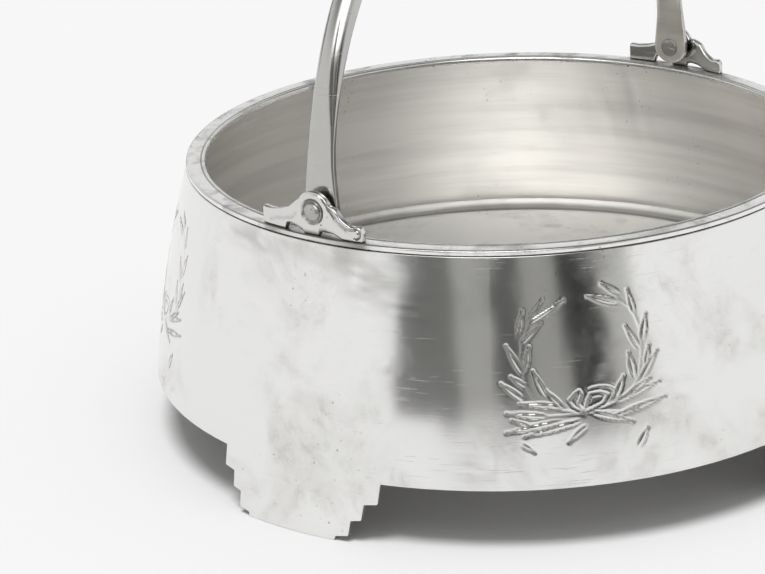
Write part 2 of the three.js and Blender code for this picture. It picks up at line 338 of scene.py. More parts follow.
def wreath_relief(x, z):
    """Height of the engraved wreath, as a share of the cutting depth, and how dark its lines are.
    Each leaf stands a little proud inside a cut outline and ends in a pit; stems and bow are
    single cuts."""
    cut = np.zeros(x.shape)
    proud = np.zeros(x.shape)
    for leaf in LEFT_LEAVES + RIGHT_LEAVES:
        edge, along = leaf_field(x, z, leaf)
        groove = np.exp(-(edge / 0.13) ** 2) * smooth_step(along, 0.02, 0.4)
        pit = np.exp(-(((x - leaf[2]) ** 2 + (z - leaf[3]) ** 2) / 0.24 ** 2))
        cut = np.maximum(cut, np.maximum(groove, 1.4 * pit))
        body = smooth_step(-edge, 0.02, 0.26) * smooth_step(along, 0.0, 0.3)
        proud = np.maximum(proud, body)
    for line in STEMS:
        distance = line_distance(x, z, line)
        cut = np.maximum(cut, 0.4 * np.exp(-(distance / 0.13) ** 2))
    for line in BOW:
        distance = line_distance(x, z, line)
        cut = np.maximum(cut, 0.75 * np.exp(-(distance / 0.13) ** 2))
        proud = np.maximum(proud, 0.5 * np.exp(-((distance - 0.35) / 0.2) ** 2))
    knot = np.exp(-((x ** 2 + z ** 2) / 0.45 ** 2))
    cut = np.maximum(cut, 1.3 * knot)
    return 0.55 * proud - cut, cut


# ---------------------------------------------------------------------------------------------
# Wall with feet
# ---------------------------------------------------------------------------------------------
def wall_radius(height):
    """Outer radius of the sheet: from just inside the rim it spreads by a slope that eases with
    the drop, and below the wall's edge the feet splay straight on."""
    drop = RIM_TOP - np.maximum(height, WALL_EDGE)
    wall = RIM_RADIUS - WALL_SET_BACK + WALL_SLOPE * drop - WALL_EASE * drop ** 2
    return wall + FOOT_SPLAY * np.maximum(WALL_EDGE - height, 0) - SKIN_GAP


def inside_radius(height):
    """Radius just inside the sheet."""
    return wall_radius(height) - SHEET - SKIN_GAP


def wall_points(angle, height, depth, dent):
    """Points of the sheet at grids of angle and height, set in by depth, with slow dents."""
    radius = wall_radius(height)
    hollow = 0.5 + 0.5 * wander(11, (np.cos(angle) * 62, np.sin(angle) * 62, height * 1.3),
                                ((5, 34), (6, 17), (6, 9)))
    radius = radius - depth - dent * hollow
    return np.stack([radius * np.cos(angle), radius * np.sin(angle), height], -1)


def quarter_angles(pitch):
    """Angles of one quarter of the wall, from a foot's left side round to the next foot, in
    radians from the foot's middle, with close columns across the wreath."""
    edge_radius = wall_radius(WALL_EDGE)
    foot = np.arcsin(np.linspace(-1, 1, 17) * FOOT_OUTLINE[-1][1] / edge_radius)
    wreath_half = WREATH_HALF / WREATH_RADIUS
    count = int(round(2 * WREATH_HALF / pitch))
    wreath = np.pi / 4 + np.linspace(-wreath_half, wreath_half, count + 1)
    before = np.linspace(foot[-1], wreath[0], 6)[1:-1]
    after = np.linspace(wreath[-1], np.pi / 2 + foot[0], 6)[1:-1]
    return np.concatenate([foot, before, wreath, after]), len(foot), slice(
        len(foot) + len(before), len(foot) + len(before) + len(wreath))


def build_wall(sizes):
    """Two skins on one grid of angle and height, joined round every edge. The outer one is
    lowered and raised by the wreaths' relief."""
    pitch = sizes.engraving_pitch / MM
    depth = sizes.engraving_depth / MM
    dent = sizes.dent_depth / MM
    quarter, foot_count, wreath = quarter_angles(pitch)
    per_quarter = len(quarter)
    first = math.radians(-90 + BODY_TURN)
    angle = np.concatenate([first + k * np.pi / 2 + quarter for k in range(4)])
    top = RIM_UNDER
    fine_top, fine_low = RIM_TOP - WREATH_TOP, RIM_TOP - WREATH_LOW
    fine = np.linspace(fine_top, fine_low, int(round((fine_top - fine_low) / pitch)) + 1)
    above, below = np.linspace(top, fine_top, 5)[:-1], np.linspace(fine_low, WALL_EDGE, 6)[1:]
    outer_z = np.concatenate([above, fine, below])
    inner_z = np.linspace(top, WALL_EDGE, 7)

    a, z = np.meshgrid(angle, outer_z)
    relief = np.zeros(a.shape)
    dark = np.zeros(a.shape)
    for k in range(4):
        span = slice(k * per_quarter + wreath.start, k * per_quarter + wreath.stop)
        x = (a[:, span] - (first + (k + 0.5) * np.pi / 2)) * WREATH_RADIUS
        relief[:, span], dark[:, span] = wreath_relief(x, z[:, span] - (RIM_TOP - KNOT_DROP))
    outer = wall_points(a, z, -depth * relief, dent)
    ai, zi = np.meshgrid(angle, inner_z)
    inner = wall_points(ai, zi, SHEET, dent)

    heights = np.array([h for h, _ in FOOT_OUTLINE])[::-1]
    halves = np.array([w for _, w in FOOT_OUTLINE])[::-1]
    share = np.linspace(-1, 1, foot_count)
    foot_x = halves[1:, None] * share[None, :]
    foot_z = np.repeat(heights[1:, None], foot_count, 1)
    foot_angle = np.arcsin(foot_x / wall_radius(foot_z))

    blocks = [outer.reshape(-1, 3), inner.reshape(-1, 3)]
    outer_index = numbered(outer.shape[:2])
    inner_index = numbered(inner.shape[:2], outer_index.size)
    start = outer_index.size + inner_index.size
    faces = [quads(closed(outer_index)), quads(closed(inner_index))[:, ::-1]]
    rim = np.stack([inner_index[0], outer_index[0]])
    faces.append(quads(closed(rim)))
    on_foot = np.zeros(len(angle), bool)
    inside = [np.zeros(outer_index.size), np.ones(inner_index.size)]
    for k in range(4):
        columns = np.arange(k * per_quarter, k * per_quarter + foot_count)
        on_foot[columns[:-1]] = True
        turn = first + k * np.pi / 2 + foot_angle
        skins = []
        for depth_in, edge_row, flag in ((0.0, outer_index[-1], 0.0), (SHEET, inner_index[-1], 1.0)):
            points = wall_points(turn, foot_z, depth_in, dent)
            blocks.append(points.reshape(-1, 3))
            index = numbered(foot_z.shape, start)
            start += foot_z.size
            inside.append(np.full(foot_z.size, flag))
            skins.append(np.concatenate([edge_row[columns][None, :], index], 0))
        out, back = skins
        faces.append(quads(out))
        faces.append(quads(back)[:, ::-1])
        faces.append(quads(np.stack([out[:, -1], back[:, -1]], 1)))
        faces.append(quads(np.stack([back[:, 0], out[:, 0]], 1)))
        faces.append(quads(np.stack([out[-1], back[-1]])))
    edge = quads(closed(np.stack([outer_index[-1], inner_index[-1]])))
    faces.append(edge[~on_foot])

    piece = make_mesh("wall_engraved", np.concatenate(blocks), faces)
    values = np.zeros(len(piece.data.vertices))
    values[: dark.size] = dark.reshape(-1)
    set_values(piece, "engraving_and_shade", values)
    set_values(piece, "inside", np.concatenate(inside))
    co = vertices_mm(piece)
    turn = np.degrees(np.arctan2(co[:, 1], co[:, 0]))
    smoke = sum(np.exp(-((turn - at) / wide) ** 2 - ((RIM_TOP - co[:, 2] - drop) / tall) ** 2)
                for at, drop, wide, tall in SMOKE)
    broken = 0.5 + 0.5 * wander(31, (turn, co[:, 2]), ((6, 7.0), (8, 3.0), (8, 1.6)))
    set_values(piece, "smoke", np.clip(smoke * np.clip(0.25 + broken, 0, 1.3), 0, 1))
    bevel = piece.modifiers.new("cut edges", "BEVEL")
    bevel.width = sizes.edge_round
    bevel.segments = 2
    bevel.limit_method = "ANGLE"
    bevel.angle_limit = math.radians(50)
    bevel.harden_normals = True
    return piece


# ---------------------------------------------------------------------------------------------
# Rim and floor
# ---------------------------------------------------------------------------------------------
def rounded(corner_points, radius, steps=5):
    """A profile with each corner replaced by a short curve: points at share s of the way round are
    the quadratic blend of the two tangent points and the corner."""
    points = np.asarray(corner_points, float)
    result = []
    for before, corner, after in zip(np.roll(points, 1, 0), points, np.roll(points, -1, 0)):
        to_before, to_after = before - corner, after - corner
        reach = min(radius, np.linalg.norm(to_before) / 2.1, np.linalg.norm(to_after) / 2.1)
        start = corner + to_before / np.linalg.norm(to_before) * reach
        end = corner + to_after / np.linalg.norm(to_after) * reach
        share = np.linspace(0, 1, steps)[:, None]
        result.append((1 - share) ** 2 * start + 2 * share * (1 - share) * corner + share ** 2 * end)
    return np.concatenate(result)


def build_rim(sizes):
    """A moulded ring: rounded outer edge, flat top with a fine groove, a bead along the inner
    edge and an upright inner lip."""
    inner = RIM_RADIUS - 3.6
    top, under = RIM_TOP, RIM_UNDER
    corners = [
        (RIM_RADIUS - 0.45, under), (RIM_RADIUS, under + 0.25), (RIM_RADIUS, top - 0.12),
        (RIM_RADIUS - 0.35, top), (inner + 1.02, top - 0.03), (inner + 0.86, top - 0.2),
        (inner + 0.72, top - 0.02), (inner + 0.2, top), (inner, top - 0.3), (inner, under),
    ]
    profile = rounded(corners, 0.28)[::-1]
    piece = turned_piece("rim_moulded", profile, sizes.turns)
    co = vertices_mm(piece)
    radius = np.hypot(co[:, 0], co[:, 1])
    groove = np.exp(-((radius - inner - 0.86) / 0.14) ** 2) * (co[:, 2] > top - 0.35)
    seam = smooth_step(-co[:, 2], -(under + 0.2), -under) * (radius > RIM_RADIUS - 1)
    # Painted shade: the rim is darkened under each lug and a little way round it.
    beside_lug = 1 - smooth_step(np.abs(co[:, 0] - PIVOT[0]), 9.5, 12)
    shade_under_lug = np.exp(-((np.abs(co[:, 1]) - 56.9) / 0.9) ** 2) * beside_lug
    # Painted dark reflection: the rim's inner lip is darkened a little.
    lip = 0.15 * (radius < inner + 0.5)
    set_values(piece, "engraving_and_shade", np.maximum.reduce([0.7 * groove, seam, shade_under_lug, lip]))
    return piece


def build_floor(sizes):
    """A turned disc with a very slight dish, and a hollow fillet of solder up the wall."""
    top = FLOOR_TOP
    seam = 61.5
    rings = np.array([0.0, 8, 16, 24, 32, 40, 47, 53, 57, 59.5, 60.8, 61.2])
    dish = -0.25 * np.cos(np.clip(rings / seam, 0, 1) * np.pi / 2) ** 2
    flat = [(r, top + d - 0.02) for r, d in zip(rings, dish)]
    share = np.linspace(0, 1, 12)
    curve = share ** 1.7
    rise = 1.5
    edge = inside_radius(top + rise)
    fillet = [(seam + (edge - seam) * s, top + rise * c) for s, c in zip(share, curve)]
    groove = [(seam - 0.1, top - 0.12)]
    under = [(edge, top + rise - 0.15), (inside_radius(top - 1.0), FLOOR_LOW[2]), (0.0, FLOOR_LOW[2])]
    profile = np.array(flat + groove + fillet + under)
    segments = sizes.turns
    angle = np.arange(segments) * 2 * np.pi / segments
    ring_profile = profile[1:-1]
    radius = ring_profile[:, 0][:, None]
    uneven = 0.12 * wander(5, (np.cos(angle) * 60, np.sin(angle) * 60), ((5, 30), (6, 12), (6, 5)))
    near_seam = smooth_step(ring_profile[:, 0], 59.0, 61.3) * (ring_profile[:, 1] > top - 0.5)
    radius = radius + (near_seam * (ring_profile[:, 0] < 63))[:, None] * uneven[None, :]
    points = np.stack([radius * np.cos(angle), radius * np.sin(angle),
                       np.repeat(ring_profile[:, 1][:, None], segments, 1)], -1).reshape(-1, 3)
    points = np.concatenate([points, [[0, 0, profile[0, 1]], [0, 0, profile[-1, 1]]]])
    index = numbered((len(ring_profile), segments))
    middle, below = len(points) - 2, len(points) - 1
    ring = np.append(index[0], index[0][0])
    low_ring = np.append(index[-1], index[-1][0])
    fan = np.stack([np.full(segments, middle), ring[:-1], ring[1:]], 1)
    low_fan = np.stack([np.full(segments, below), low_ring[1:], low_ring[:-1]], 1)
    piece = make_mesh("floor_turned", points, [quads(closed(index)), fan, low_fan])
    co = vertices_mm(piece)
    r = np.hypot(co[:, 0], co[:, 1])
    solder = 0.75 * smooth_step(r, seam, seam + 0.3) * (1 - smooth_step(r, 62.6, 63.6))
    line = np.exp(-((r - seam + 0.15) / 0.4) ** 2) + solder
    set_values(piece, "engraving_and_shade", np.clip(line, 0, 1) * (co[:, 2] > top - 0.6))
    return piece


# ---------------------------------------------------------------------------------------------
# Lugs and rivets
# ---------------------------------------------------------------------------------------------
LUG_INNER, LUG_OUTER = 56.4, 57.7
BAIL_INNER = 54.1
LUG_DRIFT = 0.6
PIVOT_RISE = 4.2
BOSS_RADIUS = 3.5
# Upper and lower edge of a lug seen from outside: across from its middle, and up from the rim.
LUG_CROWN = [
    (-11.0, 2.9), (-10.7, 3.2), (-9.0, 3.15), (-7.4, 3.35), (-6.0, 3.7), (-5.0, 4.05), (-4.0, 4.8),
    (-2.6, 5.9), (3.4, 5.75), (4.2, 5.5), (5.2, 5.1), (5.7, 4.3), (6.3, 3.55), (7.1, 3.0), (7.9, 2.6),
    (8.7, 2.55), (9.3, 2.75), (9.8, 2.55), (10.25, 1.5),
]
LUG_SOLE = [
    (-11.0, 0.0), (-5.6, 0.0), (-5.2, 1.15), (-4.3, 1.35), (-3.0, 0.95), (-1.7, 0.35), (-1.4, 0.0),
    (1.6, 0.0), (1.9, 0.7), (3.0, 0.95), (4.6, 0.75), (6.2, 0.1), (6.4, 0.0), (10.25, 0.0),
]


def lug_relief(x, z, drift):
    """Relief on a lug's outer face: a soft pad round the pivot, a ring sunk round the rivet head,
    a curl cut into the right end and a fine line along the sweep."""
    radius = np.hypot(x, z - PIVOT_RISE)
    pad = 0.10 * (1 - smooth_step(radius, 2.9, 3.5))
    ring = np.exp(-((radius - 1.92) / 0.30) ** 2)
    cx, cz = x - (8.9 + drift), z - 1.35
    curl_radius = np.hypot(cx, cz)
    curl = np.exp(-((curl_radius - 0.85) / 0.16) ** 2) * (cx > -0.35)
    shoulder = line_distance(x, z, [(3.1, 6.0), (4.0, 4.4), (4.9, 3.0), (6.6, 2.0), (8.0, 2.1)])
    block = line_distance(x, z, [(-9.6, 1.1), (-7.0, 1.9), (-4.6, 2.3), (-3.6, 3.2)])
    line = np.exp(-(shoulder / 0.24) ** 2) + 0.6 * np.exp(-(block / 0.26) ** 2)
    swell = 0.12 * np.exp(-((x - 6.6 - drift) / 1.2) ** 2 - ((z - 0.9) / 0.7) ** 2)
    shade = np.maximum(ring, curl)
    return pad + swell - 0.42 * ring - 0.34 * curl - 0.22 * line, np.maximum(shade, 0.55 * line)


def build_lug(name, side):
    """A rounded section carried along the rim: at each place across, a squarish superellipse
    between the sole and the crown, bent to the rim's circle."""
    inset = np.linspace(0, 1, 7) ** 2 * 0.35
    across = np.concatenate([-11.0 + inset[1:], np.linspace(-10.6, 9.85, 150), 10.25 - inset[::-1][:-1]])
    across = np.unique(np.round(across, 4))
    crown = np.interp(across, *np.array(LUG_CROWN).T)
    sole = np.interp(across, *np.array(LUG_SOLE).T)
    blur = np.hanning(7) / np.hanning(7).sum()
    crown = np.convolve(np.pad(crown, 3, "edge"), blur, "valid")
    drift = -LUG_DRIFT * side
    x = across + drift
    hump = PIVOT_RISE + np.sqrt(np.maximum(BOSS_RADIUS ** 2 - x ** 2, 0))
    crown = np.maximum(crown, np.where(np.abs(x) < 3.1, hump, 0))
    end = np.minimum(across + 11.0, 10.25 - across)
    close = np.sqrt(np.clip(1 - (1 - np.clip(end / 0.35, 0, 1)) ** 2, 0.02, 1))
    around = np.arange(112) * 2 * np.pi / 112
    c, s = np.cos(around), np.sin(around)
    power = 0.42
    out = np.sign(c) * np.abs(c) ** power
    up = np.sign(s) * np.abs(s) ** power
    middle, half = (crown + sole) / 2, (crown - sole) / 2
    half = half * (0.75 + 0.25 * close)
    z = middle[:, None] + half[:, None] * up[None, :]
    thick = (LUG_OUTER - LUG_INNER) / 2
    radius = (LUG_OUTER + LUG_INNER) / 2 + thick * close[:, None] * out[None, :]
    xx = np.repeat(x[:, None], len(around), 1)
    relief, shade = lug_relief(xx, z, drift)
    face = smooth_step(out, 0.72, 0.97)[None, :]
    radius = radius + relief * face + 0.03 * wander(3, (xx, z), ((6, 3.0), (6, 1.4))) * face
    shade = shade * face
    place_x = PIVOT[0] + xx
    points = np.stack([place_x, -side * np.sqrt(radius ** 2 - place_x ** 2), RIM_TOP + z], -1)
    piece = capped_tube(name, points, side < 0)
    # Painted shade: the lug is darkened along its foot, where it sits on the rim, and all along its
    # underside.
    foot = 0.8 * (1 - smooth_step(z, 0.0, 0.45))
    underside_shade = smooth_step(-up, 0.7, 0.97)[None, :] * np.ones_like(z)
    foot = np.maximum(foot, underside_shade)
    set_values(piece, "engraving_and_shade", np.clip(np.maximum(shade, foot), 0, 1).reshape(-1))
    return piece


def build_rivet(name, side):
    """A turned pin along the pivot: hammered domed head outside, low spread end inside."""
    head, peen = LUG_OUTER + 0.02, BAIL_INNER - 0.08
    profile = np.array([
        (0.02, head + 0.52), (0.5, head + 0.51), (0.95, head + 0.46), (1.3, head + 0.36), (1.52, head + 0.2),
        (1.62, head + 0.0), (1.6, head - 0.35), (1.2, head - 0.45), (1.2, peen), (1.75, peen - 0.01),
        (1.5, peen - 0.07), (1.1, peen - 0.12), (0.6, peen - 0.15), (0.02, peen - 0.16)])
    angle = np.arange(48) * 2 * np.pi / 48
    radius = profile[:, 0][:, None]
    along = np.repeat(profile[:, 1][:, None], 48, 1)
    x = radius * np.cos(angle)
    z = radius * np.sin(angle)
    hammered = 0.06 * wander(8, (x, z), ((6, 1.3), (6, 0.7)))
    along = along - hammered * ((along > head + 0.1) | (along < peen - 0.1))
    points = np.stack([PIVOT[0] + x, -side * along, PIVOT[2] + z], -1)
    piece = capped_tube(name, points, side < 0)
    # Painted shade: darker round the edge of the domed head and of the spread end, where they meet the lug
    # and the bail.
    shade = np.repeat(smooth_step(profile[:, 0], 1.45, 1.6)[:, None], 48, 1) * (along < head + 0.15)
    set_values(piece, "engraving_and_shade", shade.reshape(-1))
    return piece


# ---------------------------------------------------------------------------------------------
# Bail
# ---------------------------------------------------------------------------------------------
SPRING = 6.0
ARCH = 56.3
THIN, THICK = 1.4, 2.8
TONGUE_HALF = 3.5
# Half width of the strap by height above the rim.
STRAP_WIDTH = [(4.2, 3.5), (6.0, 3.42), (8.0, 3.1), (10.5, 2.82), (14.0, 2.64), (20.0, 2.56), (26.0, 2.55),
               (38.0, 2.6), (50.0, 2.72), (66.0, 2.8)]


def build_bail():
    """A half-round section carried along two upright arms and the half ellipse between them. The
    section is flat inside and domed outside, flatter near the pivots and deeper over the arch."""
    tip = np.radians(np.array([88, 80, 72, 64, 56, 48, 40, 32, 24, 16, 8, 0]))
    tongue_z = RIM_TOP + PIVOT_RISE - TONGUE_DROP * np.sin(tip)
    arm_z = np.array([55.0, 55.6]) - 50 + RIM_TOP
    swing = np.linspace(0, np.pi, 221)
    arch_y = BAIL_INNER * np.cos(swing)
    arch_z = RIM_TOP + SPRING + ARCH * np.sin(swing)
    side_z = np.concatenate([tongue_z, arm_z])
    y = np.concatenate([np.full(len(side_z), BAIL_INNER), arch_y, np.full(len(side_z), -BAIL_INNER)])
    z = np.concatenate([side_z, arch_z, side_z[::-1]])
    ny = np.concatenate([np.ones(len(side_z)), ARCH * np.cos(swing), -np.ones(len(side_z))])
    nz = np.concatenate([np.zeros(len(side_z)), BAIL_INNER * np.sin(swing), np.zeros(len(side_z))])
    size = np.hypot(ny, nz)
    ny, nz = ny / size, nz / size
    rise = z - RIM_TOP
    half = np.interp(rise, *np.array(STRAP_WIDTH).T)
    blur = np.hanning(11) / np.hanning(11).sum()
    half = np.convolve(np.pad(half, 5, "edge"), blur, "valid")
    below = np.clip((RIM_TOP + PIVOT_RISE - z) / TONGUE_DROP, 0, 0.9995)
    half = np.where(z < RIM_TOP + PIVOT_RISE, TONGUE_HALF * np.sqrt(1 - below ** 2), half)
    lift = smooth_step(rise, 13, 38)
    depth = THIN + (THICK - THIN) * lift
    depth = depth * (1 - 0.35 * smooth_step(below, 0.75, 1.0))
    flat = 0.85 - 0.35 * smooth_step(rise, 6, 30)
    around = np.arange(64) * 2 * np.pi / 64
    c, s = np.cos(around), np.sin(around)
    dome = 0.55 + 0.45 * smooth_step(rise, 4, 24)
    power = np.where(s[None, :] >= 0, dome[:, None], 0.26)
    across = half[:, None] * np.sign(c)[None, :] * np.abs(c)[None, :] ** power
    up = np.abs(s)[None, :] ** power
    domed = flat[:, None] + (depth - flat)[:, None] * up
    out = np.where(s[None, :] >= 0, domed, flat[:, None] * (1 - up))
    ribs = 0.045 * (1 + np.cos(2 * np.pi * across / 1.25)) * (s[None, :] < -0.3)
    ribs = ribs * smooth_step(rise, 8, 14)[:, None]
    out = out + ribs
    sway = 0.05 * wander(21, (z, y), ((5, 22), (6, 9)))
    xx = PIVOT[0] + across * (1 + 0.3 * sway[:, None] / half[:, None])
    yy = y[:, None] + ny[:, None] * out
    zz = z[:, None] + nz[:, None] * out
    points = np.stack([xx, yy, zz], -1)
    piece = capped_tube("bail_forged", points, True)
    set_values(piece, "engraving_and_shade", np.zeros(out.size))
    set_values(piece, "inside", np.broadcast_to(s < -0.2, out.shape).reshape(-1))
    return piece


# ---------------------------------------------------------------------------------------------
# Materials
# ---------------------------------------------------------------------------------------------
def add_node(tree, kind, **settings):
    """A new node with its settings."""
    node = tree.nodes.new(kind)
    for key, value in settings.items():
        setattr(node, key, value)
    return node


def link(tree, source, target):
    """Joins an output to an input."""
    tree.links.new(source, target)


def new_group(name, inputs, output="Mask"):
    """A shader group with named number inputs, a vector input and one number output."""
    tree = bpy.data.node_groups.new(name, "ShaderNodeTree")
    tree.interface.new_socket("Vector", in_out="INPUT", socket_type="NodeSocketVector")
    for label, default in inputs:
        socket = tree.interface.new_socket(label, in_out="INPUT", socket_type="NodeSocketFloat")
        socket.default_value = default
    tree.interface.new_socket(output, in_out="OUTPUT", socket_type="NodeSocketFloat")
    return tree, add_node(tree, "NodeGroupInput"), add_node(tree, "NodeGroupOutput")


def math_node(tree, operation, first, second):
    """A Math node whose two inputs are sockets or plain numbers."""
    node = add_node(tree, "ShaderNodeMath", operation=operation)
    for slot, value in enumerate((first, second)):
        if hasattr(value, "node"):
            link(tree, value, node.inputs[slot])
        else:
            node.inputs[slot].default_value = value
    return node.outputs[0]


def range_node(tree, value, low, high):
    """Eases a value from 0 at low to 1 at high; low and high are sockets or numbers."""
    node = add_node(tree, "ShaderNodeMapRange", interpolation_type="SMOOTHSTEP")
    link(tree, value, node.inputs["Value"])
    for label, limit in (("From Min", low), ("From Max", high)):
        if hasattr(limit, "node"):
            link(tree, limit, node.inputs[label])
        else:
            node.inputs[label].default_value = limit
    return node.outputs["Result"]


def stretched(tree, vector, scale):
    """The vector multiplied along each axis, so that a pattern on it is squeezed there."""
    node = add_node(tree, "ShaderNodeVectorMath", operation="MULTIPLY")
    link(tree, vector, node.inputs[0])
    node.inputs[1].default_value = scale
    return node.outputs[0]


def turned_vector(tree, vector, angles, scale):
    """The vector turned and then multiplied along each axis."""
    node = add_node(tree, "ShaderNodeMapping")
    link(tree, vector, node.inputs["Vector"])
    node.inputs["Rotation"].default_value = angles
    node.inputs["Scale"].default_value = scale
    return node.outputs[0]


def noise(tree, vector, scale, detail, roughness=0.55, distortion=0.0):
    """Cloudy noise; scale is a socket or a number."""
    node = add_node(tree, "ShaderNodeTexNoise")
    link(tree, vector, node.inputs["Vector"])
    if hasattr(scale, "node"):
        link(tree, scale, node.inputs["Scale"])
    else:
        node.inputs["Scale"].default_value = scale
    node.inputs["Detail"].default_value = detail
    node.inputs["Roughness"].default_value = roughness
    node.inputs["Distortion"].default_value = distortion
    return node.outputs["Fac"]


def cloud_group():
    """Cloudy patches: broken noise eased between two levels."""
    tree, start, end = new_group("Cloudy patina", (("Scale", 60.0), ("Low", 0.42), ("High", 0.68)))
    value = noise(tree, start.outputs["Vector"], start.outputs["Scale"], 6.0, 0.62, 0.6)
    link(tree, range_node(tree, value, start.outputs["Low"], start.outputs["High"]), end.inputs[0])
    return tree


def scratch_group():
    """Fine scratches: three sets of long thin noise at different tilts, each kept where it peaks."""
    tree, start, end = new_group("Fine scratches", (("Scale", 1.0), ("Level", 0.69)))
    scaled = add_node(tree, "ShaderNodeVectorMath", operation="SCALE")
    link(tree, start.outputs["Vector"], scaled.inputs[0])
    link(tree, start.outputs["Scale"], scaled.inputs["Scale"])
    best = None
    for angles, scale in (((0.3, 0.2, 0.4), (90, 90, 4200)), ((1.1, 0.5, 0.2), (120, 120, 3600)),
                          ((0.2, 1.3, 0.9), (100, 100, 4600))):
        value = noise(tree, turned_vector(tree, scaled.outputs[0], angles, scale), 1.0, 2.0)
        high = math_node(tree, "ADD", start.outputs["Level"], 0.06)
        mask = range_node(tree, value, start.outputs["Level"], high)
        best = mask if best is None else math_node(tree, "MAXIMUM", best, mask)
    link(tree, best, end.inputs[0])
    return tree


def speck_group():
    """Pits and specks: small spots round scattered points, thinned out by a slow noise."""
    tree, start, end = new_group("Pits and specks", (("Scale", 700.0), ("Size", 0.16), ("Spread", 0.56)))
    cells = add_node(tree, "ShaderNodeTexVoronoi")
    link(tree, start.outputs["Vector"], cells.inputs["Vector"])
    link(tree, start.outputs["Scale"], cells.inputs["Scale"])
    inner = math_node(tree, "MULTIPLY", start.outputs["Size"], 0.35)
    away = range_node(tree, cells.outputs["Distance"], inner, start.outputs["Size"])
    spot = math_node(tree, "SUBTRACT", 1.0, away)
    patch = noise(tree, start.outputs["Vector"], 55.0, 3.0, 0.6)
    top = math_node(tree, "ADD", start.outputs["Spread"], 0.12)
    where = range_node(tree, patch, start.outputs["Spread"], top)
    link(tree, math_node(tree, "MULTIPLY", spot, where), end.inputs[0])
    return tree


def brush_group():
    """Lines left by turning and polishing: noise squeezed hard along the bowl's axis."""
    tree, start, end = new_group("Turned lines", (("Fineness", 1.0),))
    scaled = add_node(tree, "ShaderNodeVectorMath", operation="SCALE")
    link(tree, start.outputs["Vector"], scaled.inputs[0])
    link(tree, start.outputs["Fineness"], scaled.inputs["Scale"])
    one = noise(tree, stretched(tree, scaled.outputs[0], (35, 35, 2600)), 1.0, 4.0, 0.7)
    two = noise(tree, stretched(tree, scaled.outputs[0], (90, 90, 900)), 1.0, 3.0, 0.6)
    link(tree, math_node(tree, "MULTIPLY", math_node(tree, "ADD", one, two), 0.5), end.inputs[0])
    return tree


def use_group(tree, group, vector, **values):
    """Places a node group with its own values."""
    node = add_node(tree, "ShaderNodeGroup")
    node.node_tree = group
    link(tree, vector, node.inputs["Vector"])
    for label, value in values.items():
        node.inputs[label].default_value = value
    return node.outputs[0]


def blend(tree, factor, first, second):
    """Colour mix; factor is a socket, the colours are sockets or RGB."""
    node = add_node(tree, "ShaderNodeMix", data_type="RGBA")
    link(tree, factor, node.inputs[0])
    for slot, value in ((6, first), (7, second)):
        if hasattr(value, "node"):
            link(tree, value, node.inputs[slot])
        else:
            node.inputs[slot].default_value = (*value, 1.0)
    return node.outputs[2]


def read_value(tree, name):
    """Reads a value kept at the mesh's vertices."""
    node = add_node(tree, "ShaderNodeAttribute", attribute_type="GEOMETRY", attribute_name=name)
    return node.outputs["Fac"]


